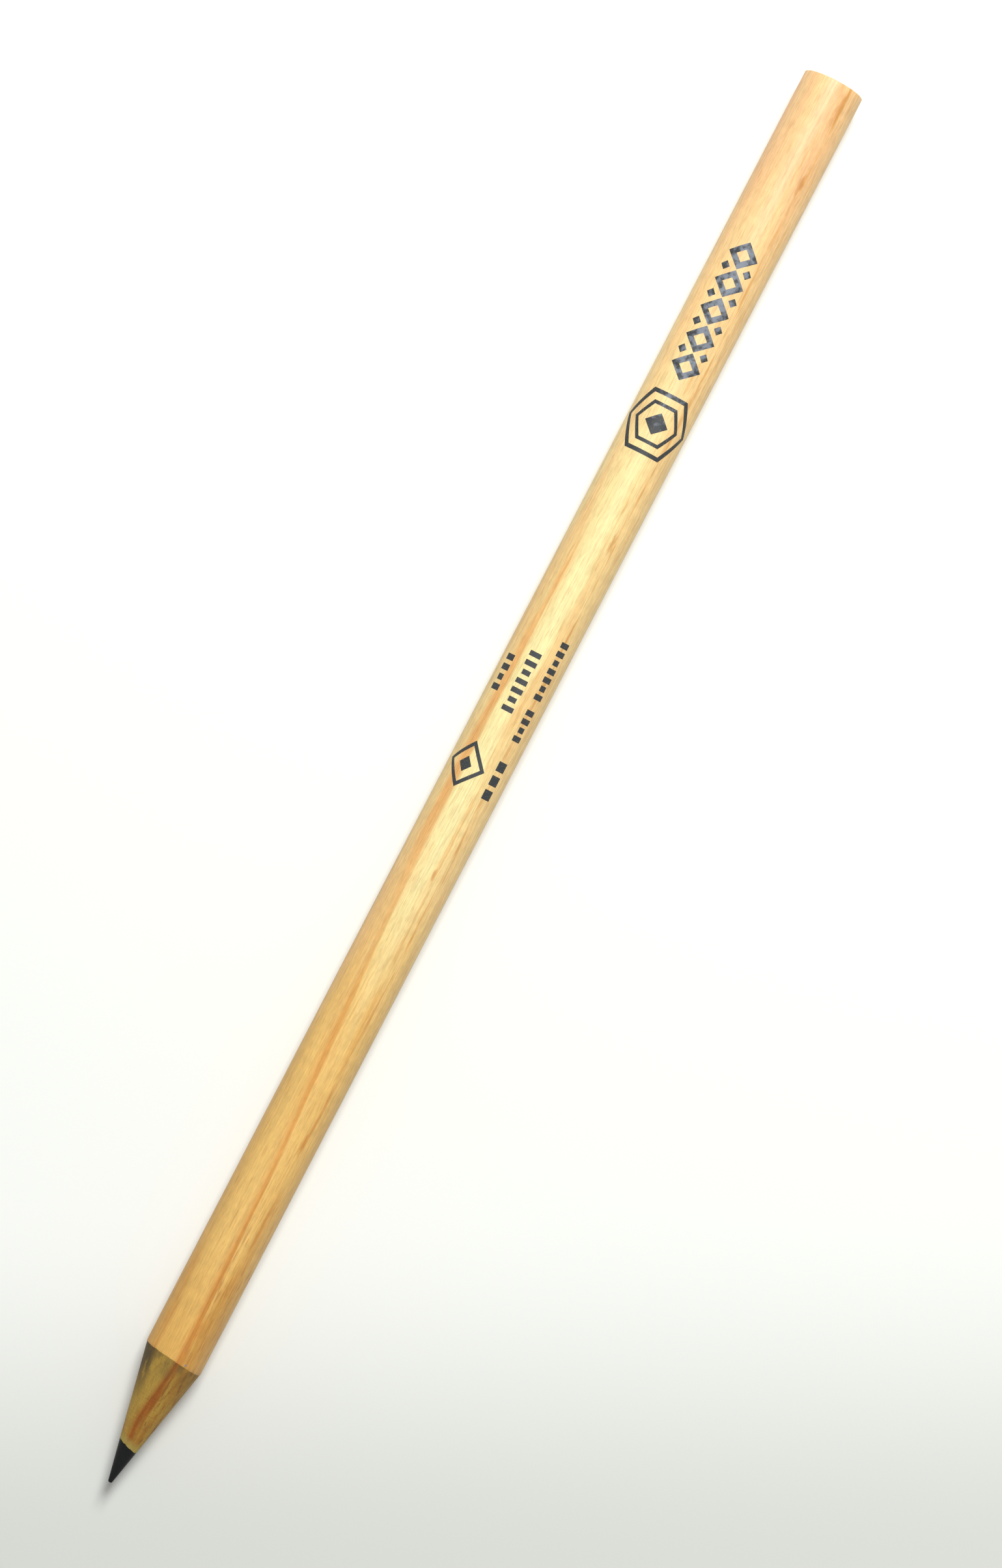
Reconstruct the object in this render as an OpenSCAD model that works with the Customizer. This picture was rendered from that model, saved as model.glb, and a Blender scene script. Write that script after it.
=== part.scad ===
// Round wooden pencil with a plain flat end, sharpened once and lying on its side.
//
// Two half-round slats of wood, each with a groove down its flat side, are glued around a lead that
// runs the whole length. One sharpening cut then cones the slats and the lead together.
// X runs from the tip (-X) to the flat end (+X) and Z is up. The origin is on the surface that the
// pencil lies on, under the middle of its length.

/* [Barrel] */
// Diameter of the barrel
barrel_d = 7; // [6:0.1:10]
// Length from the tip of the lead to the flat end
pencil_l = 172.5; // [60:0.5:220]
// Width of the softened rim around the flat end
rim_bevel = 0.12; // [0.05:0.01:0.4]

/* [Lead] */
// Diameter of the lead
lead_d = 2.3; // [1.8:0.1:3.2]
// Thickness of the glue film between the lead and the groove that it lies in
glue_film = 0.02; // [0.01:0.01:0.1]

/* [Sharpening] */
// Angle of the sharpened cone, from side to side
cone_angle = 23.5; // [16:0.5:40]
// Width of the blunted tip
tip_d = 0.5; // [0.2:0.05:1.2]
// How far the cone's axis lies to one side (-Y) of the barrel's axis
cone_runout = 0.08; // [0.01:0.01:0.2]

/* [Hidden] */
$fn = 96;

UPPER = 1; // the slat above the glue line
LOWER = -1; // the slat below it
PAST = 1; // how far a cutting shape reaches past what it cuts

barrel_r = barrel_d / 2;
lead_r = lead_d / 2;
groove_r = lead_r + glue_film;
tip_r = tip_d / 2;
cone_slope = tan(cone_angle / 2);
cutter_r = barrel_r + cone_runout + PAST;
cutter_cone_l = (cutter_r - tip_r) / cone_slope;

WOOD = "#EFCF8A";
WOOD_BELOW = "#E6C27C";
GRAPHITE = "#26282B";

// Lays a shape that is drawn along Z, from the tip upwards, on the barrel's axis.
module on_axis() {
    translate([-pencil_l / 2, 0, barrel_r])
        rotate([0, 90, 0])
            children();
}

// The round blank before it is sharpened, with its softened rim at the flat end.
module blank() {
    on_axis()
        rotate_extrude()
            polygon([
                [0, 0],
                [barrel_r, 0],
                [barrel_r, pencil_l - rim_bevel],
                [barrel_r - rim_bevel, pencil_l],
                [0, pencil_l]
            ]);
}

// Everything that the sharpener leaves: a cone with a flat tip, opening past the barrel's radius.
module kept_by_sharpener() {
    translate([0, -cone_runout, 0])
        on_axis()
            rotate_extrude()
                polygon([
                    [0, 0],
                    [tip_r, 0],
                    [cutter_r, cutter_cone_l],
                    [cutter_r, cutter_cone_l + pencil_l],
                    [0, cutter_cone_l + pencil_l]
                ]);
}

// The half of all space above or below the glue line, as far as the blank reaches.
module half_space(side) {
    translate([-pencil_l / 2 - PAST, -barrel_r - PAST, side == UPPER ? barrel_r : -PAST])
        cube([pencil_l + 2 * PAST, barrel_d + 2 * PAST, barrel_r + PAST]);
}

// One slat: half of the blank, grooved for the lead and sharpened.
module slat(side) {
    intersection() {
        difference() {
            intersection() {
                blank();
                half_space(side);
            }
            on_axis()
                translate([0, 0, -PAST])
                    cylinder(r = groove_r, h = pencil_l + 2 * PAST);
        }
        kept_by_sharpener();
    }
}

module upper_slat() {
    color(WOOD) slat(UPPER);
}

module lower_slat() {
    color(WOOD_BELOW) slat(LOWER);
}

// The lead, from its blunted tip to the face that it shares with the flat end.
module lead_core() {
    color(GRAPHITE)
        intersection() {
            on_axis() cylinder(r = lead_r, h = pencil_l);
            kept_by_sharpener();
        }
}

upper_slat();
lower_slat();
lead_core();
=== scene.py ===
"""A round pencil of clear-varnished pine, sharpened once, lying on a white table.

The pencil runs along X from its tip (-X) to its flat end (+X). Sizes are in millimetres and MM
turns them into Blender's metres. "Along" is measured from the tip, an angle goes round the barrel
from the +Y side over the top, and an arc is measured round the barrel from its top line.
"""

import math

import bmesh
import bpy
from mathutils import Matrix, Vector, noise

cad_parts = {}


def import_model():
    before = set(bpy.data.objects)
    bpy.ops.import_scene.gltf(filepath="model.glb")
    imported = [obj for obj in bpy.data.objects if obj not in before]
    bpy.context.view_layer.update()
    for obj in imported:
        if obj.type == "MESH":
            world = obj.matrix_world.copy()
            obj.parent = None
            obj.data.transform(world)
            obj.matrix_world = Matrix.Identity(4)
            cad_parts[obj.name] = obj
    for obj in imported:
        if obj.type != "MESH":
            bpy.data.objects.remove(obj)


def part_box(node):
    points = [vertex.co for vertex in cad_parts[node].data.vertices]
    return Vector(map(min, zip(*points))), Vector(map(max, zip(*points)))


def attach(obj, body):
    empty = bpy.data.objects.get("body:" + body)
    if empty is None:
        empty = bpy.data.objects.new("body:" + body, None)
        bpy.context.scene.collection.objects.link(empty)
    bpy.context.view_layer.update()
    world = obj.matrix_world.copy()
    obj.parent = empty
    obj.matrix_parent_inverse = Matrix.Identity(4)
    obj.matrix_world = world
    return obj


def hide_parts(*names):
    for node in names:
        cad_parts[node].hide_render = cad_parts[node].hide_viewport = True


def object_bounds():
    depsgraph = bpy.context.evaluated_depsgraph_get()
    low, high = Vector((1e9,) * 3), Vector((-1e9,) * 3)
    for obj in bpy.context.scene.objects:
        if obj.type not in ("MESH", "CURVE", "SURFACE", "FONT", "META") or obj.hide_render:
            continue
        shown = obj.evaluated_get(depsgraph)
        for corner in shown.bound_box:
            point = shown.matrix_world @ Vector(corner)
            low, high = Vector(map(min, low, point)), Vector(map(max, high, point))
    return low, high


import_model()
cad_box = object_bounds()

# ---------------------------------------------------------------- sizes, from the frame

MM = 0.001

low, high = (Vector(corner) / MM for corner in cad_box)
lead_low, lead_high = (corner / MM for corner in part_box("lead_core"))

TIP_X = low.x
PENCIL_L = high.x - low.x
AXIS_Z = (low.z + high.z) / 2
BARREL_R = (high.z - low.z) / 2
LEAD_R = (lead_high.z - lead_low.z) / 2

# ---------------------------------------------------------------- sizes, chosen

GLUE_FILM = 0.02
GROOVE_R = LEAD_R + GLUE_FILM

# The sharpener's cut: its cone, the blunted tip, and how far it lies to the -Y side.
CONE_ANGLE = 23.5
CONE_SLOPE = math.tan(math.radians(CONE_ANGLE / 2))
TIP_R = 0.25
RUNOUT = 0.08
# At both sides the shoulder comes this much nearer to the tip than it does on top.
SHOULDER_DIP = 0.3
# The blade's spiral marks on the cone: how far apart they are, and how deep.
MARK_PITCH = 0.42
MARK_DEPTH = 0.007
# How much of the barrel behind the shoulder takes up the cut's unevenness.
SETTLE = 4.0

# The wood's front edge is this thick where it thins out against the lead.
FEATHER = 0.02
# How deep the glue line's groove is on the barrel.
SEAM_DEPTH = 0.02
# Rounding of the rim at the flat end, and how far the lead is sunk in that end.
RIM_R = 0.12
LEAD_SUNK = 0.03

WOOD_EDGE = (GROOVE_R + FEATHER - TIP_R) / CONE_SLOPE
LEAD_EDGE = (LEAD_R - TIP_R) / CONE_SLOPE
SHOULDER = (BARREL_R - TIP_R) / CONE_SLOPE

# The printed ink stands this far proud of the wood, and reaches down through the varnish.
INK_PROUD = 0.006
INK_DEPTH = 0.02

# Steps round one slat and round the lead, and cuts along the cone and the barrel.
SLAT_STEPS = 96
LEAD_STEPS = 96
CONE_CUTS = 150
BARREL_CUTS = 260
END_CUTS = 10
NOSE_CUTS = 60

# Points nearer than this are one point, and a place within this of another is level with it.
WELD = 1e-4
NEAR = 1e-3
# Faces that meet at more than this many degrees keep a sharp edge.
SHARP_FROM = 35
# A slat's surfaces, in the order of its materials.
PLANED, CUT, SAWN_END, GLUED = range(4)


def at(along, across, up):
    """A place in metres: along from the tip, across to +Y, and up from the barrel's axis."""
    return Vector((TIP_X + along, across, AXIS_Z + up)) * MM


# ---------------------------------------------------------------- modelling


def start_line(name, points):
    """Draws a line through points, by extruding one point, and stays in edit mode."""
    bpy.ops.object.select_all(action="DESELECT")
    bpy.ops.mesh.primitive_plane_add(size=MM)
    piece = bpy.context.object
    piece.name = piece.data.name = name
    bpy.ops.object.mode_set(mode="EDIT")
    bpy.ops.mesh.merge(type="CENTER")
    bpy.ops.transform.translate(value=points[0])
    for here, there in zip(points, points[1:]):
        bpy.ops.mesh.extrude_region_move(TRANSFORM_OT_translate={"value": there - here})
    return piece


def select(piece, element, test):
    """Selects only the verts, edges or faces whose points all pass a test."""
    bpy.ops.mesh.select_all(action="DESELECT")
    mesh = bmesh.from_edit_mesh(piece.data)
    for item in getattr(mesh, element):
        points = [item] if element == "verts" else item.verts
        if all(test(vert.co) for vert in points):
            item.select_set(True)
    bmesh.update_edit_mesh(piece.data)


def cut_between(piece, first, last, cuts):
    """Subdivides the outer line's edges between two distances along the pencil."""
    start, stop = at(first, 0, 0).x, at(last, 0, 0).x
    slack = MM * NEAR

    def between(place):
        radius = Vector((place.y, place.z - AXIS_Z * MM)).length
        on_skin = radius > (GROOVE_R + FEATHER / 2) * MM
        return on_skin and start - slack < place.x < stop + slack

    select(piece, "edges", between)
    bpy.ops.mesh.subdivide(number_cuts=cuts)


def rim_points(radius, corner, edge, steps=4):
    """Places round a softened rim, from the side at radius to the face at edge."""
    points = []
    for step in range(steps + 1):
        turn = math.radians(90) * step / steps
        along = edge - corner + corner * math.sin(turn)
        points.append((along, radius - corner + corner * math.cos(turn)))
    return points


def ease_seam(piece):
    """Draws a slat's outer edges in a little, so that the glue line shows as a hairline groove."""
    for vert in piece.data.vertices:
        radius = math.hypot(vert.co.y, vert.co.z - AXIS_Z * MM)
        if abs(vert.co.z - AXIS_Z * MM) < MM * NEAR and radius > 2 * LEAD_R * MM:
            vert.co.y *= 1 - SEAM_DEPTH / BARREL_R


def finish_piece(piece, materials, node):
    """Leaves edit mode with clean normals, its materials and its place in the frame."""
    bpy.ops.mesh.select_all(action="SELECT")
    bpy.ops.mesh.normals_make_consistent(inside=False)
    bpy.ops.object.mode_set(mode="OBJECT")
    for material in materials:
        piece.data.materials.append(material)
    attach(piece, "root")
    if node:
        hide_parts(node)


def smooth(piece):
    """Shades a piece smooth apart from its real edges."""
    bpy.ops.object.select_all(action="DESELECT")
    piece.select_set(True)
    bpy.context.view_layer.objects.active = piece
    bpy.ops.object.shade_smooth_by_angle(angle=math.radians(SHARP_FROM))


# ---------------------------------------------------------------- the sharpener's cut


def cone_along(radius, angle):
    """Where the off-centre cone reaches a radius from the barrel's axis, at an angle round it."""
    from_cone_axis = math.sqrt(radius**2 + 2 * radius * RUNOUT * math.cos(angle) + RUNOUT**2)
    return (from_cone_axis - TIP_R) / CONE_SLOPE


def cone_radius(along, angle):
    """How far the off-centre cone's surface is from the barrel's axis."""
    own = TIP_R + CONE_SLOPE * along
    side = RUNOUT * math.sin(angle)
    return math.sqrt(max(own**2 - side**2, 0)) - RUNOUT * math.cos(angle)


def wander(angle, detail, seed):
    """A smooth irregular value from about -1 to 1 that closes on itself round the barrel."""
    return noise.noise(Vector((math.cos(angle) * detail, math.sin(angle) * detail, seed)))


def wood_edge_along(angle):
    """The wood's front edge: it follows the cone and has lost small chips against the lead."""
    chips = 0.30 * max(wander(angle, 1.3, 3.1), 0) + 0.12 * max(wander(angle, 5.0, 8.4), 0)
    return cone_along(GROOVE_R + FEATHER, angle) + chips


def shoulder_along(angle):
    """The edge between the cone and the barrel: skewed by the run-out and slightly ragged."""
    ragged = 0.07 * wander(angle, 2.6, 5.7) + 0.04 * wander(angle, 9.0, 1.2)
    return cone_along(BARREL_R, angle) + ragged - SHOULDER_DIP * math.cos(angle) ** 2


def cutter_marks(along, angle):
    """Depth of the fine spiral marks that the sharpener's blade leaves in wood."""
    spiral = math.sin(2 * math.pi * along / MARK_PITCH - angle)
    chatter = noise.noise(Vector((along * 1.1, math.cos(angle) * 2.2, math.sin(angle) * 2.2)))
    return MARK_DEPTH * (1 + spiral) * (0.6 + chatter) + 0.008 * (1 + chatter)


def sharpen(piece, edge, edge_along, marks):
    """Moves a turned cone's points to the off-centre, slightly ragged cone of the real cut.

    Points between the nominal edge and SHOULDER are spread between the real edge and shoulder,
    and the first few millimetres of barrel close the difference.
    """
    for vert in piece.data.vertices:
        place = vert.co / MM
        along = place.x - TIP_X
        radius = math.hypot(place.y, place.z - AXIS_Z)
        angle = math.atan2(place.z - AXIS_Z, place.y)
        if along > SHOULDER + SETTLE or radius < 1e-6:
            continue
        if along > SHOULDER + WELD:
            left = 1 - (along - SHOULDER) / SETTLE
            along += (shoulder_along(angle) - SHOULDER) * left * left
        else:
            share = (along - edge) / (SHOULDER - edge)
            front, back = edge_along(angle), shoulder_along(angle)
            along = front + share * (back - front)
            if radius > GROOVE_R + FEATHER / 2:
                depth = marks(along, angle) * min(1, 8 * share) * min(1, 8 * (1 - share))
                radius = cone_radius(along, angle) - max(depth, 0)
        vert.co = at(along, radius * math.cos(angle), radius * math.sin(angle))


# ---------------------------------------------------------------- pieces


def slat(name, node, side, skins):
    """A half-round slat, turned from its outline: side is 1 above the glue line, -1 below it."""
    outline = [(WOOD_EDGE, GROOVE_R), (WOOD_EDGE, GROOVE_R + FEATHER)]
    outline += [(SHOULDER, BARREL_R), (SHOULDER + 0.06, BARREL_R), (SHOULDER + 0.3, BARREL_R)]
    outline += rim_points(BARREL_R, RIM_R, PENCIL_L)
    outline += [(PENCIL_L, GROOVE_R), (WOOD_EDGE, GROOVE_R)]
    piece = start_line(name, [at(along, radius, 0) for along, radius in outline])
    cut_between(piece, WOOD_EDGE, SHOULDER, CONE_CUTS)
    cut_between(piece, SHOULDER + 0.3, PENCIL_L - RIM_R, BARREL_CUTS)
    cut_between(piece, PENCIL_L, PENCIL_L, END_CUTS)
    bpy.ops.mesh.select_all(action="SELECT")
    bpy.ops.mesh.remove_doubles(threshold=MM * WELD)
    # With no window, spin turns clockwise about its axis.
    bpy.ops.mesh.spin(
        steps=SLAT_STEPS, angle=-side * math.pi, center=at(0, 0, 0), axis=(1, 0, 0)
    )
    bpy.ops.mesh.select_all(action="SELECT")
    bpy.ops.mesh.remove_doubles(threshold=MM * WELD)
    bpy.ops.mesh.select_all(action="DESELECT")
    bpy.ops.mesh.select_non_manifold()
    bpy.ops.mesh.fill_holes(sides=0)
    finish_piece(piece, skins, node)
    for face in piece.data.polygons:
        place = face.center / MM
        radius = math.hypot(place.y, place.z - AXIS_Z)
        along = place.x - TIP_X
        on_glue_line = abs(face.normal.z) > 0.999 and abs(place.z - AXIS_Z) < NEAR
        if on_glue_line or radius < GROOVE_R + NEAR:
            face.material_index = GLUED
        elif face.normal.x > 0.9:
            face.material_index = SAWN_END
        elif along < SHOULDER:
            face.material_index = CUT
        else:
            face.material_index = PLANED
    sharpen(piece, WOOD_EDGE, wood_edge_along, cutter_marks)
    ease_seam(piece)
    smooth(piece)
    return piece


def lead(name, node, skins):
    """The lead, turned whole from its outline, with a blunt tip that writing has worn on one side."""
    nose, nose_steps = 0.15, 4
    outline = [(0, 0), (0, TIP_R - nose)]
    for step in range(1, nose_steps + 1):
        turn = math.radians(78) * step / nose_steps
        outline.append((nose * (1 - math.cos(turn)), TIP_R - nose + nose * math.sin(turn)))
    outline += [(LEAD_EDGE, LEAD_R), (SHOULDER, LEAD_R)]
    lead_end = PENCIL_L - LEAD_SUNK
    outline += rim_points(LEAD_R, 0.04, lead_end, 2)
    outline += [(lead_end, 0)]
    piece = start_line(name, [at(along, radius, 0) for along, radius in outline])
    cut_cone = at(LEAD_EDGE, 0, 0).x
    select(piece, "edges", lambda place: at(0.1, 0, 0).x < place.x < cut_cone + MM * NEAR)
    bpy.ops.mesh.subdivide(number_cuts=NOSE_CUTS)
    bpy.ops.mesh.select_all(action="SELECT")
    bpy.ops.mesh.spin(
        steps=LEAD_STEPS, angle=2 * math.pi, center=at(0, 0, 0), axis=(1, 0, 0)
    )
    bpy.ops.mesh.select_all(action="SELECT")
    bpy.ops.mesh.remove_doubles(threshold=MM * WELD)
    finish_piece(piece, skins, node)
    for vert in piece.data.vertices:
        place = vert.co / MM
        along = place.x - TIP_X
        if along > LEAD_EDGE + WELD:
            continue
        radius = math.hypot(place.y, place.z - AXIS_Z)
        angle = math.atan2(place.z - AXIS_Z, place.y)
        share = along / LEAD_EDGE
        real = share * cone_along(LEAD_R, angle)
        nominal = TIP_R + CONE_SLOPE * along
        across = radius / nominal * cone_radius(real, angle)
        sway = -RUNOUT * (1 - radius / nominal)
        grind = 0.003 * noise.noise(Vector((real * 5, math.cos(angle) * 2, math.sin(angle) * 2)))
        across -= abs(grind)
        vert.co = at(real, across * math.cos(angle) + sway, across * math.sin(angle))
    # Writing has worn a flat that leans back under the tip, in the lead's first 1.5 mm.
    lean = math.radians(50)
    wear = Vector((-math.cos(lean), 0.25, -math.sin(lean))).normalized()
    flat = at(0.1, 0, -0.12)
    worn_to = at(1.5, 0, 0).x
    for vert in piece.data.vertices:
        proud = (vert.co - flat).dot(wear)
        if proud > 0 and vert.co.x < worn_to:
            vert.co -= wear * proud
    smooth(piece)
    return piece


# ---------------------------------------------------------------- print


def start_print(name):
    """Starts an empty piece, to be drawn flat in edit mode with X along the pencil."""
    bpy.ops.object.select_all(action="DESELECT")
    bpy.ops.mesh.primitive_plane_add(size=MM)
    piece = bpy.context.object
    piece.name = piece.data.name = name
    bpy.ops.object.mode_set(mode="EDIT")
    bpy.ops.mesh.delete(type="VERT")
    return piece


def stamp(sides, along, arc, length, width, stroke=0.0):
    """Draws one flat shape round a middle: a bar of no sides, a diamond of 4 or a hexagon of 6.

    A stroke leaves only an outline that wide. An arc counts from the top line towards -Y.
    """
    middle = Vector((along, -arc, 0)) * MM
    if sides:
        bpy.ops.mesh.primitive_circle_add(
            vertices=sides, radius=MM / 2, fill_type="NGON", location=middle
        )
    else:
        bpy.ops.mesh.primitive_plane_add(size=MM, location=middle)
    bpy.ops.transform.resize(value=(length, width, 1), center_override=middle)
    if stroke:
        bpy.ops.mesh.inset(thickness=stroke * MM, use_even_offset=True)
        bpy.ops.mesh.delete(type="FACE")


def print_round(piece, ink):
    """Wraps a flat print round the barrel, in strips narrow enough to lie on it, and thickens it."""
    strip, strips = 0.2, 25
    for step in range(-strips, strips + 1):
        bpy.ops.mesh.select_all(action="SELECT")
        bpy.ops.mesh.bisect(plane_co=(0, step * strip * MM, 0), plane_no=(0, 1, 0))
    bpy.ops.object.mode_set(mode="OBJECT")
    for vert in piece.data.vertices:
        along, arc = vert.co.x / MM, vert.co.y / MM
        turn = arc / BARREL_R
        radius = BARREL_R + INK_PROUD
        vert.co = at(along, radius * math.sin(turn), radius * math.cos(turn))
    thickness = piece.modifiers.new("thickness", "SOLIDIFY")
    thickness.thickness = INK_DEPTH * MM
    thickness.offset = -1
    bpy.ops.object.modifier_apply(modifier=thickness.name)
    bpy.ops.object.mode_set(mode="EDIT")
    finish_piece(piece, [ink], None)
    smooth(piece)
    return piece


def small_emblem(ink):
    """A lozenge outline round a small solid lozenge, over three short bars."""
    piece = start_print("printed_small_emblem")
    middle = (87.9, -1.65)
    stamp(4, *middle, 5.6, 4.8, 0.42)
    stamp(4, *middle, 1.9, 1.6)
    for along in (85.9, 87.6, 89.3):
        stamp(0, along, 2.3, 1.15, 1.15)
    return print_round(piece, ink)


def small_bars(ink):
    """Three centred rows of small bars, tall and short in turn."""
    piece = start_print("printed_small_bars")
    # Each row's start, number of bars, pitch, arc, and its bars' height and length.
    rows = [
        (96.9, 4, 1.2, -2.9, 1.15, 0.72),
        (95.3, 7, 1.1, -0.25, 1.35, 0.6),
        (92.8, 4, 1.05, 2.35, 1.1, 0.66),
        (97.9, 7, 1.05, 2.35, 1.1, 0.66),
    ]
    for first, count, pitch, arc, height, length in rows:
        for index in range(count):
            short = 0.7 if index % 3 == 1 else 1.0
            stamp(0, first + index * pitch, arc, length, height * short)
    return print_round(piece, ink)


def large_emblem(ink):
    """A hexagon outline with a second one inside it and a solid diamond in the middle."""
    piece = start_print("printed_large_emblem")
    middle = (130.25, -0.15)
    stamp(6, *middle, 8.4, 8.5, 0.48)
    stamp(6, *middle, 5.5, 5.6, 0.4)
    stamp(4, *middle, 2.6, 2.8)
    return print_round(piece, ink)


def diamond_row(ink):
    """A bold row of diamond outlines, with small solid diamonds in the gaps above and below."""
    piece = start_print("printed_diamond_row")
    count, pitch = 5, 3.4
    for index in range(count):
        along = 137.25 + pitch * index
        stamp(4, along, -0.15, 3.3, 3.6, 0.66)
        if index < count - 1:
            for arc in (-1.5, 1.2):
                stamp(4, along + pitch / 2, arc, 1.1, 1.1)
    return print_round(piece, ink)


# ---------------------------------------------------------------- materials


def colour(code):
    """A linear colour from an sRGB hex value."""
    values = [int(code[i : i + 2], 16) / 255 for i in (1, 3, 5)]
    linear = [v / 12.92 if v <= 0.04045 else ((v + 0.055) / 1.055) ** 2.4 for v in values]
    return (*linear, 1.0)


def add(tree, kind, links, out=0, stops=(), **settings):
    """Adds a node and gives back one of its outputs.

    links fills its inputs, each with a value or with another node's output, and stops are the
    places and colours of a colour ramp.
    """
    node = tree.nodes.new("ShaderNode" + kind)
    for name, value in settings.items():
        setattr(node, name, value)
    for socket, value in links.items():
        if isinstance(value, bpy.types.NodeSocket):
            tree.links.new(value, node.inputs[socket])
        else:
            node.inputs[socket].default_value = value
    if stops:
        ramp = node.color_ramp.elements
        while len(ramp) < len(stops):
            ramp.new(1.0)
        for element, (position, value) in zip(ramp, stops):
            element.position = position
            element.color = value
    return node.outputs[out]


def new_material(name):
    """An empty material and its node tree."""
    material = bpy.data.materials.new(name)
    material.use_nodes = True
    material.node_tree.nodes.clear()
    return material, material.node_tree


def surface(tree, shader):
    """Joins a shader to the material's output."""
    tree.links.new(shader, tree.nodes.new("ShaderNodeOutputMaterial").inputs["Surface"])


def grey(level):
    """A ramp stop's grey."""
    return (level, level, level, 1.0)


# Each slat is its own piece of pine: how its growth rings lean, where its boldest ring line starts
# and a weaker one runs, how far apart the rings are, and the resin spots on it, each with its
# place along and across, its length and its width. Degrees and millimetres.
SLAT_GRAIN = {
    "upper": {
        "lean": 35,
        "bold": 1.15,
        "weak": 0.0,
        "spacing": 2.2,
        "seed": 0.0,
        "spots": [
            (20.0, -1.3, 3.2, 0.5),
            (43.0, -1.8, 2.4, 0.45),
            (75.5, -1.0, 1.6, 0.4),
            (116.5, -1.6, 2.4, 0.5),
            (160.5, -1.8, 2.6, 0.5),
            (170.0, -1.7, 4.6, 0.7),
        ],
    },
    "lower": {
        "lean": -118,
        "bold": 0.3,
        "weak": -1.4,
        "spacing": 1.7,
        "seed": 40.0,
        "spots": [(36.0, 1.2, 1.8, 0.3), (91.0, -1.9, 1.3, 0.3), (141.0, 0.4, 2.2, 0.35)],
    },
}

# Pine's colours on each kind of surface. Planed and varnished wood is palest; the cone's bare wood
# has darker, browner tones; and end grain is duller, because its open cells swallow light.
VARNISHED = {
    "cream": "#F6E6A4",
    "peach": "#F4C68A",
    "band": "#F0B26C",
    "rose": "#EEB883",
    "warm": "#F3C27E",
    "amber": "#EBBE6C",
    "honey": "#DBA953",
    "ring": "#D99A4A",
    "char": "#C47F30",
    # The stain tone is a real stain in the mottling and also painted shade on the flanks near the
    # tip.
    "stain_and_shade": "#C8913E",
    "dash": "#B87C3A",
    # The dull tone is painted shade, laid on the -Y flank.
    "dull": "#D9C088",
}
SHARPENED = {
    "cream": "#B9964E",
    "peach": "#B28B4B",
    "band": "#A97F3C",
    "rose": "#A97F3C",
    "warm": "#AD8845",
    "amber": "#B4913F",
    "honey": "#B08E3C",
    "ring": "#92500C",
    "char": "#92500C",
    "stain_and_shade": "#A2752A",
    "dash": "#7E4D1A",
    "dull": "#907A42",
}
SAWN = {
    "cream": "#E6CB92",
    "peach": "#DDB983",
    "band": "#D3A566",
    "rose": "#D6AB72",
    "warm": "#DBB67A",
    "amber": "#D9B071",
    "honey": "#CFA262",
    "ring": "#B5803F",
    "char": "#B5803F",
    "stain_and_shade": "#B5803F",
    "dash": "#9C6C38",
    "dull": "#CDB68A",
}


def streaks(tree, place, length, width, detail=2.0):
    """Noise drawn out along the grain, in streaks about so many millimetres long and wide."""
    drawn = add(tree, "Mapping", {"Vector": place, "Scale": (1 / length, 1 / width, 1 / width)})
    return add(tree, "TexNoise", {"Vector": drawn, "Scale": 1.0, "Detail": detail})


def laid_over(tree, tone, layers):
    """Lays colours over a tone, one after another, each through its own mask."""
    for mask, code in layers:
        tone = add(
            tree, "Mix", {0: mask, 6: tone, 7: colour(code)}, out=2, data_type="RGBA"
        )
    return tone


def fade(tree, value, start, stop, most=1.0):
    """A mask that rises smoothly from 0 to most as a value goes from start to stop."""
    return add(
        tree,
        "MapRange",
        {"Value": value, "From Min": start, "From Max": stop, "To Max": most},
        interpolation_type="SMOOTHSTEP",
    )


def product(tree, *masks):
    """The product of several masks."""
    whole = masks[0]
    for mask in masks[1:]:
        whole = add(tree, "Math", {0: whole, 1: mask}, operation="MULTIPLY")
    return whole


def spot(tree, from_axis, along, across, length, width):
    """How far a point is from a drawn-out spot's middle, where 1 is the spot's edge."""
    drawn = add(
        tree,
        "Mapping",
        {
            "Vector": from_axis,
            "Scale": (2 / length, 2 / width, 0),
            "Location": (-2 * along / length, -2 * across / width, 0),
        },
    )
    return add(tree, "VectorMath", {0: drawn}, out="Value", operation="LENGTH")


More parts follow.
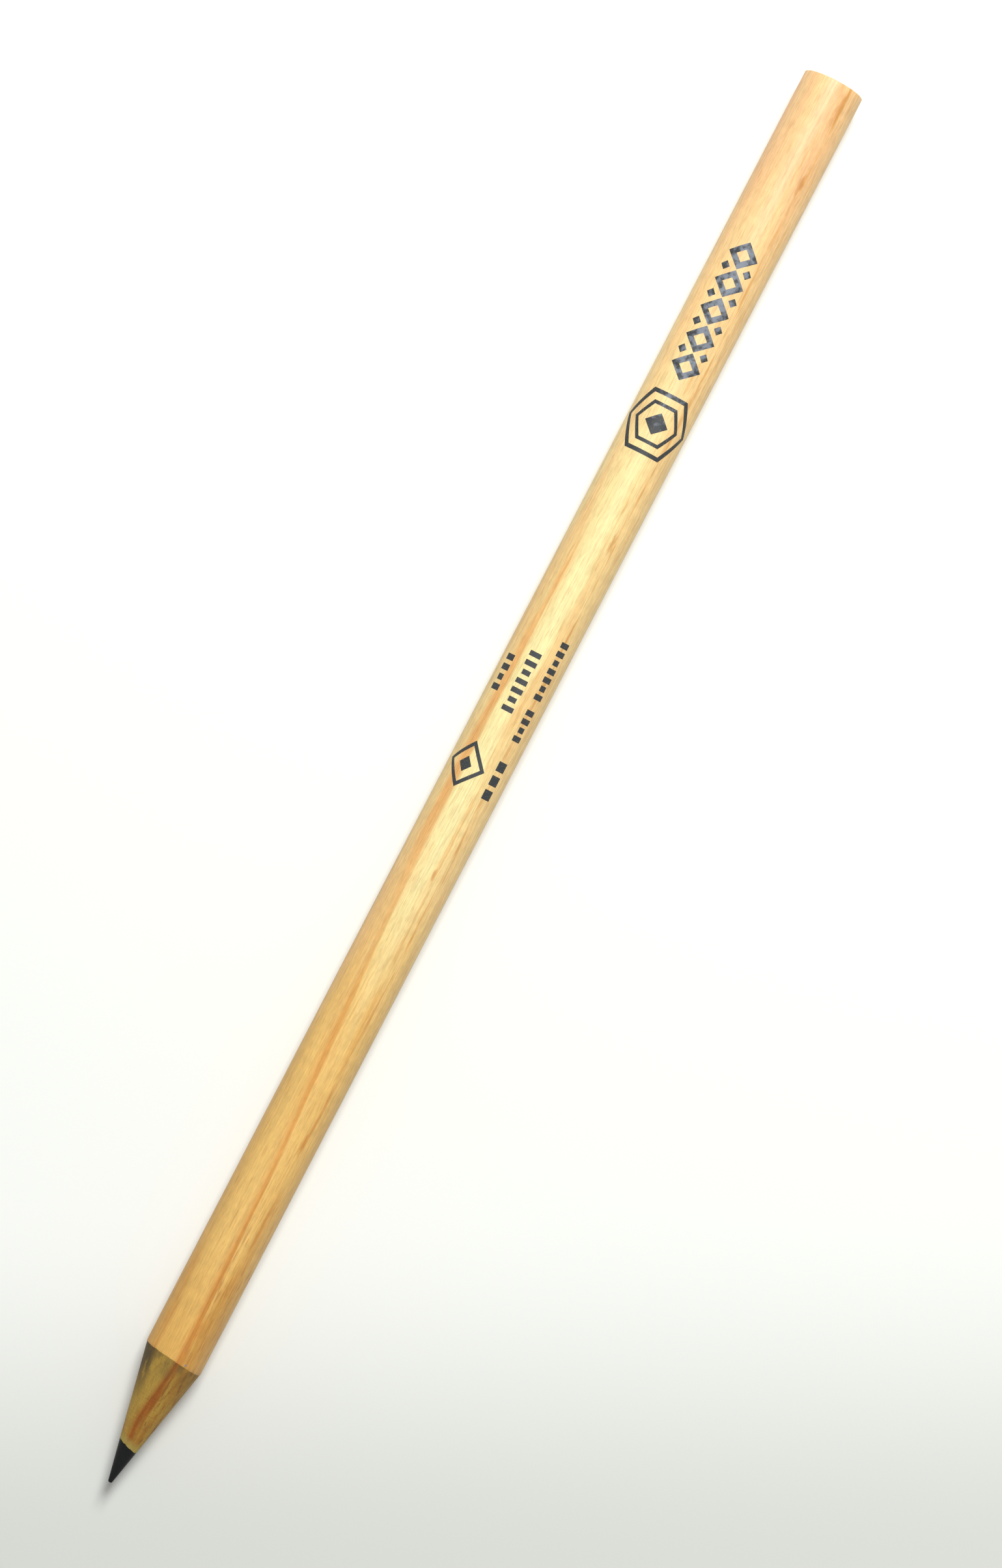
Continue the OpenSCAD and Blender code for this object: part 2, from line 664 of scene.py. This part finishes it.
def pine_grain(tree, grain):
    """Pine's grain through a slat, as places in millimetres and masks from 0 to 1.

    The rings are nearly flat sheets that lean across the barrel and swing slowly along it, so
    their lines wander over the surface and one of them grazes it as a broad band.
    """
    lean = math.radians(-grain["lean"])
    to_axis = Matrix.Rotation(lean, 3, "X") @ Vector((0, 0, -AXIS_Z))
    object_place = add(tree, "TexCoord", {}, out="Object")
    from_axis = add(
        tree,
        "Mapping",
        {
            "Vector": object_place,
            "Scale": (1 / MM, 1 / MM, 1 / MM),
            "Location": (-TIP_X, 0, -AXIS_Z),
        },
    )
    place = add(
        tree,
        "Mapping",
        {
            "Vector": object_place,
            "Scale": (1 / MM, 1 / MM, 1 / MM),
            "Rotation": (lean, 0, 0),
            "Location": (-TIP_X, to_axis.y, to_axis.z + grain["seed"]),
        },
    )
    along = add(tree, "SeparateXYZ", {"Vector": place}, out="X")
    across = add(tree, "SeparateXYZ", {"Vector": place}, out="Y")

    # From the tip to the middle the sheets swing by about 2 mm, and they pinch in on the cone.
    swing = fade(tree, along, 8, 88, 2.1)
    pinch = fade(tree, along, 9, 4, 0.5)
    waver = streaks(tree, place, 11, 2, 3.0)
    waver = add(tree, "Math", {0: waver, 1: 0.3, 2: -0.15}, operation="MULTIPLY_ADD")
    depth = add(tree, "Math", {0: across, 1: waver}, operation="ADD")
    from_bold = add(tree, "Math", {0: depth, 1: swing}, operation="SUBTRACT")
    from_bold = add(tree, "Math", {0: from_bold, 1: pinch}, operation="ADD")
    from_bold = add(tree, "Math", {0: from_bold, 1: grain["bold"]}, operation="SUBTRACT")
    phase = add(tree, "Math", {0: from_bold, 1: grain["spacing"]}, operation="DIVIDE")
    nearest = add(tree, "Math", {0: phase}, operation="ROUND")
    offset = add(tree, "Math", {0: phase, 1: nearest}, operation="SUBTRACT")

    # A ring line has one sharper side, and it fades over about 0.8 mm on the other.
    late = add(
        tree,
        "ValToRGB",
        {"Fac": add(tree, "Math", {0: offset, 1: 0.5}, operation="ADD")},
        stops=[
            (0.4, grey(0)),
            (0.46, grey(0.95)),
            (0.55, grey(0.95)),
            (0.63, grey(0.45)),
            (0.82, grey(0)),
        ],
    )
    is_bold = add(tree, "Math", {0: nearest, 1: 0.0, 2: 0.1}, operation="COMPARE")
    # The bold line is strongest at the tip and is lost in its band past the middle.
    bold = add(
        tree,
        "Math",
        {0: fade(tree, along, 80, 50, 0.65), 1: fade(tree, along, 122, 108, 0.35)},
        operation="ADD",
    )
    bold = product(tree, bold, is_bold)
    broken = fade(tree, streaks(tree, place, 6, 0.6), 0.4, 0.62)
    faint = product(tree, broken, add(tree, "Math", {0: 0.45, 1: is_bold}, operation="SUBTRACT"))
    strength = add(tree, "Math", {0: bold, 1: faint}, operation="MAXIMUM")
    # The weaker line keeps its place all along, and shows only in dashes.
    wander_off = streaks(tree, place, 16, 4)
    from_weak = add(tree, "Math", {0: wander_off, 1: 0.9, 2: -0.45}, operation="MULTIPLY_ADD")
    from_weak = add(tree, "Math", {0: from_weak, 1: across}, operation="ADD")
    from_weak = add(tree, "Math", {0: from_weak, 1: grain["weak"]}, operation="SUBTRACT")
    from_weak = add(tree, "Math", {0: from_weak}, operation="ABSOLUTE")
    at_end = fade(tree, along, 165, 169)
    shown = add(tree, "Math", {0: broken, 1: at_end}, operation="MAXIMUM")
    weak = product(tree, fade(tree, from_weak, 0.3, 0.04), shown)
    # On the cone the bold line spreads to a broad streak.
    core = add(tree, "Math", {0: from_bold}, operation="ABSOLUTE")
    core = product(tree, fade(tree, core, 0.5, 0.17), fade(tree, along, 24, 14))
    rings = add(tree, "Math", {0: product(tree, late, strength), 1: core}, operation="MAXIMUM")
    return {
        "place": place,
        "from_axis": from_axis,
        "along": along,
        "from_bold": from_bold,
        "rings": rings,
        "weak": weak,
        "fibres": streaks(tree, place, 12, 0.16, 5.0),
        "grains": streaks(tree, place, 0.9, 0.22, 3.0),
        "mottle": streaks(tree, place, 22, 1.5, 3.0),
        "dashes": streaks(tree, place, 2.6, 0.34),
        "canals": streaks(tree, place, 2.2, 0.06, 1.0),
        "bars": streaks(tree, place, 1.1, 5.0, 1.0),
    }


def pine_colour(tree, grain, tones):
    """Pine's colour from its grain, in one set of tones."""
    along = grain["along"]
    crosswise = add(tree, "SeparateXYZ", {"Vector": grain["from_axis"]}, out="Y")
    height = add(tree, "SeparateXYZ", {"Vector": grain["from_axis"]}, out="Z")
    blurred = add(
        tree, "Math", {0: grain["mottle"], 1: 40.0, 2: -20.0}, operation="MULTIPLY_ADD"
    )
    blurred = add(tree, "Math", {0: along, 1: blurred}, operation="ADD")
    beyond = fade(tree, grain["from_bold"], 0.0, 0.7)
    before = fade(tree, grain["from_bold"], 0.15, -0.1)
    # The bold line's sheet grazes the surface from the middle on, as a soft orange band.
    band = product(
        tree,
        fade(tree, grain["from_bold"], -0.38, 0.03),
        fade(tree, crosswise, 3.3, 2.2),
        fade(tree, along, 128, 112),
        fade(tree, grain["mottle"], 0.28, 0.56),
    )
    near_tip = fade(tree, along, 42, 20, 0.85)
    # Painted shade on the flanks: full from the tip to about 16 mm and gone by 80 mm.
    flank_shade_near_tip = fade(tree, along, 80, 16)
    far = fade(tree, along, 146, 166)
    tone = laid_over(
        tree,
        colour(tones["cream"]),
        [
            (product(tree, beyond, fade(tree, along, 45, 65, 0.9)), tones["peach"]),
            (product(tree, band, fade(tree, along, 62, 84, 0.9)), tones["band"]),
            (fade(tree, grain["mottle"], 0.45, 0.68, 0.55), tones["warm"]),
            # Partly the wood's tone and partly painted highlight: the wood stays paler cream along
            # the top and turns peach lower down.
            (fade(tree, height, 1.5, -0.8, 0.65), tones["peach"]),
            (fade(tree, crosswise, -0.4, -2.4, 0.6), tones["warm"]),
            (fade(tree, along, 108, 150, 0.6), tones["peach"]),
            (product(tree, far, fade(tree, grain["mottle"], 0.2, 0.6, 0.78)), tones["rose"]),
            (fade(tree, blurred, 78, 50, 0.95), tones["amber"]),
            (fade(tree, along, 34, 14, 0.8), tones["honey"]),
            (grain["rings"], tones["ring"]),
            (product(tree, grain["rings"], fade(tree, along, 42, 17)), tones["char"]),
            (add(tree, "Math", {0: grain["weak"], 1: 0.85}, operation="MULTIPLY"), tones["ring"]),
            (product(tree, grain["weak"], fade(tree, along, 60, 25, 0.7)), tones["char"]),
            (product(tree, near_tip, before, fade(tree, grain["mottle"], 0.34, 0.6)), tones["stain_and_shade"]),
            # Painted shade: the -Y flank is dulled, standing in for the shade on that side.
            (fade(tree, crosswise, -1.6, -3.4, 0.35), tones["dull"]),
            # Painted shade: both flanks are darkened in the stain tone near the tip, standing in for
            # the shade there.
            (product(tree, flank_shade_near_tip, fade(tree, crosswise, -1.4, -3.1, 0.4)), tones["stain_and_shade"]),
            (product(tree, flank_shade_near_tip, fade(tree, crosswise, 1.6, 3.3, 0.5)), tones["stain_and_shade"]),
        ],
    )
    # Short resin dashes: thick near the sharpened end below the bold line, sparse elsewhere.
    crowd = add(tree, "MapRange", {"Value": product(tree, near_tip, before), "To Min": 0.22})
    dashes = product(tree, crowd, fade(tree, grain["dashes"], 0.54, 0.66, 0.75))
    # A darker hairline where the slats were glued, level with the axis.
    seam = add(tree, "Math", {0: height}, operation="ABSOLUTE")
    tone = laid_over(
        tree,
        tone,
        [
            (dashes, tones["dash"]),
            (fade(tree, grain["canals"], 0.6, 0.72, 0.4), tones["dash"]),
            (fade(tree, seam, 0.07, 0.02, 0.7), tones["dash"]),
        ],
    )
    shade = 1.0
    for pattern, spread in (("fibres", 0.09), ("grains", 0.07), ("bars", 0.035)):
        light = add(
            tree,
            "MapRange",
            {
                "Value": grain[pattern],
                "From Min": 0.3,
                "From Max": 0.7,
                "To Min": 1 - spread,
                "To Max": 1 + spread,
            },
        )
        shade = add(tree, "Math", {0: shade, 1: light}, operation="MULTIPLY")
    return add(tree, "VectorMath", {0: tone, "Scale": shade}, operation="SCALE")


def varnished_pine(name, grain):
    """Planed pine under a thin clear satin varnish: warm and pale, with a soft broad sheen."""
    material, tree = new_material(name)
    masks = pine_grain(tree, grain)
    tone = pine_colour(tree, masks, VARNISHED)
    ragged = add(
        tree, "Math", {0: masks["grains"], 1: 1.6, 2: -0.8}, operation="MULTIPLY_ADD"
    )
    spots = []
    for place in grain["spots"]:
        away = spot(tree, masks["from_axis"], *place)
        away = add(tree, "Math", {0: away, 1: ragged}, operation="ADD")
        spots.append((fade(tree, away, 1.4, 0.2, 0.6), VARNISHED["char"]))
    # A fleck of blue-grey dirt sits by the shoulder.
    fleck = spot(tree, masks["from_axis"], 15.65, -1.6, 0.3, 0.3)
    spots.append((fade(tree, fleck, 1.1, 0.6, 0.7), "#77838E"))
    tone = laid_over(tree, tone, spots)
    bump = add(
        tree,
        "Bump",
        {"Height": masks["fibres"], "Distance": 0.02 * MM, "Strength": 0.35},
    )
    shader = add(
        tree,
        "BsdfPrincipled",
        {
            "Base Color": tone,
            "Roughness": 0.5,
            "IOR": 1.45,
            "Coat Weight": 0.2,
            "Coat Roughness": 0.35,
            "Normal": bump,
        },
    )
    surface(tree, shader)
    return material


def cut_pine(name, grain):
    """Bare pine from the sharpener's blade: matt and browner, with graphite rubbed into it."""
    material, tree = new_material(name)
    masks = pine_grain(tree, grain)
    tone = pine_colour(tree, masks, SHARPENED)
    along = masks["along"]
    crosswise = add(tree, "SeparateXYZ", {"Vector": masks["from_axis"]}, out="Y")
    height = add(tree, "SeparateXYZ", {"Vector": masks["from_axis"]}, out="Z")
    outwards = add(tree, "Mapping", {"Vector": masks["from_axis"], "Scale": (0, 1, 1)})
    radius = add(tree, "VectorMath", {0: outwards}, out="Value", operation="LENGTH")
    sideways = add(tree, "Math", {0: crosswise, 1: radius}, operation="DIVIDE")

    # The wood is palest in a ring where it thins out against the lead.
    fresh = fade(tree, radius, LEAD_R + 0.3, LEAD_R + 0.06, 0.65)
    # Graphite gathers at the shoulder and along the +Y side.
    rubbed = streaks(tree, masks["place"], 2.4, 0.8, 4.0)
    side = product(
        tree,
        fade(tree, sideways, 0.42, 0.78),
        fade(tree, height, -1.8, 0.6),
        fade(tree, along, 8, 15),
        fade(tree, rubbed, 0.2, 0.5, 0.95),
    )
    shoulder = product(
        tree,
        fade(tree, along, 11.8, 15.6),
        fade(tree, rubbed, 0.32, 0.62, 0.66),
    )
    tone = laid_over(
        tree,
        tone,
        [(fresh, "#ABA052"), (side, "#332D1B"), (shoulder, "#635029")],
    )
    # The blade's fine turning lines run round the cone, about 0.1 mm apart.
    drawn = add(tree, "Mapping", {"Vector": masks["from_axis"], "Scale": (9, 0.4, 0.4)})
    turned = add(tree, "TexNoise", {"Vector": drawn, "Scale": 1.0, "Detail": 3.0})
    shaved = add(tree, "MapRange", {"Value": turned, "To Min": 0.9, "To Max": 1.1})
    tone = add(tree, "VectorMath", {0: tone, "Scale": shaved}, operation="SCALE")
    relief = add(tree, "Math", {0: masks["fibres"], 1: turned}, operation="ADD")
    bump = add(tree, "Bump", {"Height": relief, "Distance": 0.04 * MM, "Strength": 0.6})
    shader = add(
        tree,
        "BsdfPrincipled",
        {"Base Color": tone, "Roughness": 0.7, "IOR": 1.45, "Normal": bump},
    )
    surface(tree, shader)
    return material


def sawn_pine(name, grain):
    """End grain, sawn square: matt, with open cells and faint saw lines."""
    material, tree = new_material(name)
    masks = pine_grain(tree, grain)
    # Open cells about 0.1 mm wide.
    cells = add(
        tree, "TexVoronoi", {"Vector": masks["place"], "Scale": 9.0}, out="Distance"
    )
    # The saw's lines run across the end about 0.25 mm apart, a little tilted.
    lines = add(
        tree,
        "TexWave",
        {
            "Vector": add(
                tree,
                "Mapping",
                {"Vector": masks["from_axis"], "Rotation": (math.radians(25), 0, 0)},
            ),
            "Scale": 1.3,
            "Distortion": 0.6,
        },
        out=1,
        bands_direction="Z",
    )
    height = add(tree, "Math", {0: cells, 1: lines}, operation="ADD")
    bump = add(tree, "Bump", {"Height": height, "Distance": 0.03 * MM, "Strength": 0.6})
    tone = pine_colour(tree, masks, SAWN)
    open_cells = add(tree, "MapRange", {"Value": cells, "To Min": 0.82, "To Max": 1.06})
    tone = add(tree, "VectorMath", {0: tone, "Scale": open_cells}, operation="SCALE")
    shader = add(
        tree,
        "BsdfPrincipled",
        {"Base Color": tone, "Roughness": 0.7, "IOR": 1.45, "Normal": bump},
    )
    surface(tree, shader)
    return material


def wood_glue():
    """Dried white glue on the hidden faces: dull, yellowish and slightly glossy."""
    material, tree = new_material("dried_wood_glue")
    place = add(tree, "TexCoord", {}, out="Object")
    # Blotches about 1 mm wide.
    blotch = add(tree, "TexNoise", {"Vector": place, "Scale": 900.0, "Detail": 3.0})
    tone = add(
        tree,
        "Mix",
        {0: blotch, 6: colour("#B98F52"), 7: colour("#D9C08A")},
        out=2,
        data_type="RGBA",
    )
    shader = add(tree, "BsdfPrincipled", {"Base Color": tone, "Roughness": 0.4})
    surface(tree, shader)
    return material


def printing_ink():
    """Pad-printed ink: thin matt charcoal, rubbed to a chalky grey-blue in patches, with more
    grey-blue along the barrel's crown as a painted highlight.
    """
    material, tree = new_material("worn_printing_ink_with_sheen")
    place = add(tree, "TexCoord", {}, out="Object")
    # Rubbed patches about 0.6 mm wide, with pinholes of about 0.1 mm.
    patches = add(tree, "TexNoise", {"Vector": place, "Scale": 1600.0, "Detail": 4.0})
    pinholes = add(tree, "TexNoise", {"Vector": place, "Scale": 8000.0, "Detail": 2.0})
    height = add(tree, "SeparateXYZ", {"Vector": place}, out="Z")
    # Painted highlight: along the barrel's top line, from about 125 mm along onwards, the grey-blue
    # is laid on more thickly, standing in for the sheen of light there.
    crown_sheen = fade(tree, height, (AXIS_Z + 0.8 * BARREL_R) * MM, (AXIS_Z + BARREL_R) * MM)
    along = add(tree, "SeparateXYZ", {"Vector": place}, out="X")
    sheen_along = fade(tree, along, at(125, 0, 0).x, at(138, 0, 0).x)
    crown_sheen = product(tree, crown_sheen, sheen_along)
    # So the grey-blue is real wear in patches plus the painted highlight on the crown.
    rubbed = add(tree, "Math", {0: patches, 1: crown_sheen, 2: patches}, operation="MULTIPLY_ADD")
    tone = laid_over(
        tree,
        colour("#272C2F"),
        [
            (fade(tree, rubbed, 0.68, 1.15, 0.7), "#8A93A0"),
            (fade(tree, pinholes, 0.62, 0.72, 0.4), "#B79A68"),
        ],
    )
    shader = add(
        tree,
        "BsdfPrincipled",
        {
            "Base Color": tone,
            "Roughness": 0.5,
            "Normal": add(
                tree, "Bump", {"Height": pinholes, "Distance": 0.005 * MM, "Strength": 0.4}
            ),
        },
    )
    surface(tree, shader)
    return material


def graphite():
    """Fired graphite and clay: near black, with a dull grey shine where the blade burnished it."""
    material, tree = new_material("graphite_lead")
    place = add(tree, "TexCoord", {}, out="Object")
    grains = add(tree, "TexNoise", {"Vector": place, "Scale": 6000.0, "Detail": 4.0})
    tone = add(
        tree,
        "ValToRGB",
        {"Fac": grains},
        stops=[(0.35, colour("#08090A")), (0.65, colour("#131514"))],
    )
    # The blade's turning marks run round the lead, about 0.06 mm apart.
    drawn = add(tree, "Mapping", {"Vector": place, "Scale": (16 / MM, 0.5 / MM, 0.5 / MM)})
    turned = add(tree, "TexNoise", {"Vector": drawn, "Scale": 1.0, "Detail": 2.0})
    height = add(tree, "Math", {0: grains, 1: turned}, operation="ADD")
    bump = add(tree, "Bump", {"Height": height, "Distance": 0.012 * MM, "Strength": 0.6})
    shader = add(
        tree,
        "BsdfPrincipled",
        {"Base Color": tone, "Roughness": 0.45, "IOR": 1.25, "Normal": bump},
    )
    surface(tree, shader)
    return material


# ---------------------------------------------------------------- the pencil


def slat_skins(side):
    """The four surfaces of one slat, in the order of PLANED, CUT, SAWN_END and GLUED."""
    grain = SLAT_GRAIN[side]
    return [
        varnished_pine(f"varnished_pine_{side}", grain),
        cut_pine(f"sharpened_pine_{side}", grain),
        sawn_pine(f"sawn_pine_{side}", grain),
        GLUE,
    ]


GLUE = wood_glue()
slat("upper_slat_wood", "upper_slat", 1, slat_skins("upper"))
slat("lower_slat_wood", "lower_slat", -1, slat_skins("lower"))
lead("graphite_lead", "lead_core", [graphite()])

INK = printing_ink()
for motif in (small_emblem, small_bars, large_emblem, diamond_row):
    motif(INK)

# ---------------------------------------------------------------- table, light and camera

# The view turns by this many degrees about the vertical, so that the tip is at the lower left.
VIEW_TURN = -62.57
# Across the table, the direction that runs up the view.
UP_THE_VIEW = (0.888, 0.459, 0)
# The table's own glow, which only the camera sees, starts and is full this far up the view; its
# fading out below the tip is painted light standing in for the lamp's falloff there.
GLOW_FROM, GLOW_TO, GLOW = -86, -46, 0.22
# Further off, the table melts into the white room over this stretch.
MELT_FROM, MELT_TO, MELT = 150, 420, 0.8
# How strongly the white room lights things. What looks straight at it sees plain white.
ROOM_LIGHT = 0.31

def table():
    """A smooth white table whose camera-only glow fades out below the tip, as painted light for the
    falloff there, and melts into white far off.
    """
    bpy.ops.object.select_all(action="DESELECT")
    bpy.ops.mesh.primitive_plane_add(size=3.0)
    floor = bpy.context.object
    floor.name = "white_table"
    material, tree = new_material("white_table_top")
    place = add(tree, "TexCoord", {}, out="Object")
    upward = add(
        tree,
        "VectorMath",
        {0: place, 1: tuple(part / MM for part in UP_THE_VIEW)},
        out="Value",
        operation="DOT_PRODUCT",
    )
    # Painted light: the glow is weaker below the tip, standing in for the light's falloff there.
    glow = fade(tree, upward, GLOW_FROM, GLOW_TO, GLOW)
    distance = add(tree, "VectorMath", {0: place}, out="Value", operation="LENGTH")
    far_off = fade(tree, distance, MELT_FROM * MM, MELT_TO * MM, MELT)
    glow = add(tree, "Math", {0: glow, 1: far_off}, operation="ADD")
    seen = add(tree, "LightPath", {}, out="Is Camera Ray")
    glow = add(tree, "Math", {0: seen, 1: glow}, operation="MULTIPLY")
    matt = add(tree, "BsdfDiffuse", {"Color": colour("#E2E4DE")})
    glow = add(tree, "Emission", {"Strength": glow})
    surface(tree, add(tree, "AddShader", {0: matt, 1: glow}))
    floor.data.materials.append(material)


def lamp(name, place, target, size, power):
    """A soft box, at a place and turned to a target: its size is across and up, in millimetres."""
    bpy.ops.object.light_add(type="AREA", location=Vector(place) * MM)
    box = bpy.context.object
    box.name = name
    box.data.shape = "RECTANGLE"
    box.data.size, box.data.size_y = (side * MM for side in size)
    box.data.energy = power
    aim = (Vector(target) - Vector(place)).to_track_quat("-Z", "Y")
    box.rotation_euler = aim.to_euler()


def world():
    """Even white light from all round, seen as plain white."""
    sky = bpy.data.worlds.new("white_room")
    bpy.context.scene.world = sky
    sky.use_nodes = True
    tree = sky.node_tree
    tree.nodes.clear()
    seen = add(tree, "LightPath", {}, out="Is Camera Ray")
    glossy = add(tree, "LightPath", {}, out="Is Glossy Ray")
    glass = add(tree, "LightPath", {}, out="Is Transmission Ray")
    either = add(tree, "Math", {0: glossy, 1: glass}, operation="MAXIMUM")
    either = add(tree, "Math", {0: either, 1: seen}, operation="MAXIMUM")
    strength = add(tree, "MapRange", {"Value": either, "To Min": ROOM_LIGHT, "To Max": 1.0})
    light = add(tree, "Background", {"Color": colour("#FFFFFF"), "Strength": strength})
    tree.links.new(light, tree.nodes.new("ShaderNodeOutputWorld").inputs["Surface"])


def camera():
    """Looks straight down, with the pencil's tip to the lower left and its end to the upper right."""
    bpy.ops.object.camera_add(
        location=at(87.7, -2.9, 457), rotation=(0, 0, math.radians(VIEW_TURN))
    )
    view = bpy.context.object
    view.name = "camera"
    view.data.lens = 95.7
    view.data.clip_start = 0.01
    bpy.context.scene.camera = view


table()
world()
lamp("soft_box", (320, 10, 490), (0, 0, 0), (170, 300), 3.3)
camera()
bpy.context.scene.view_settings.view_transform = "Standard"
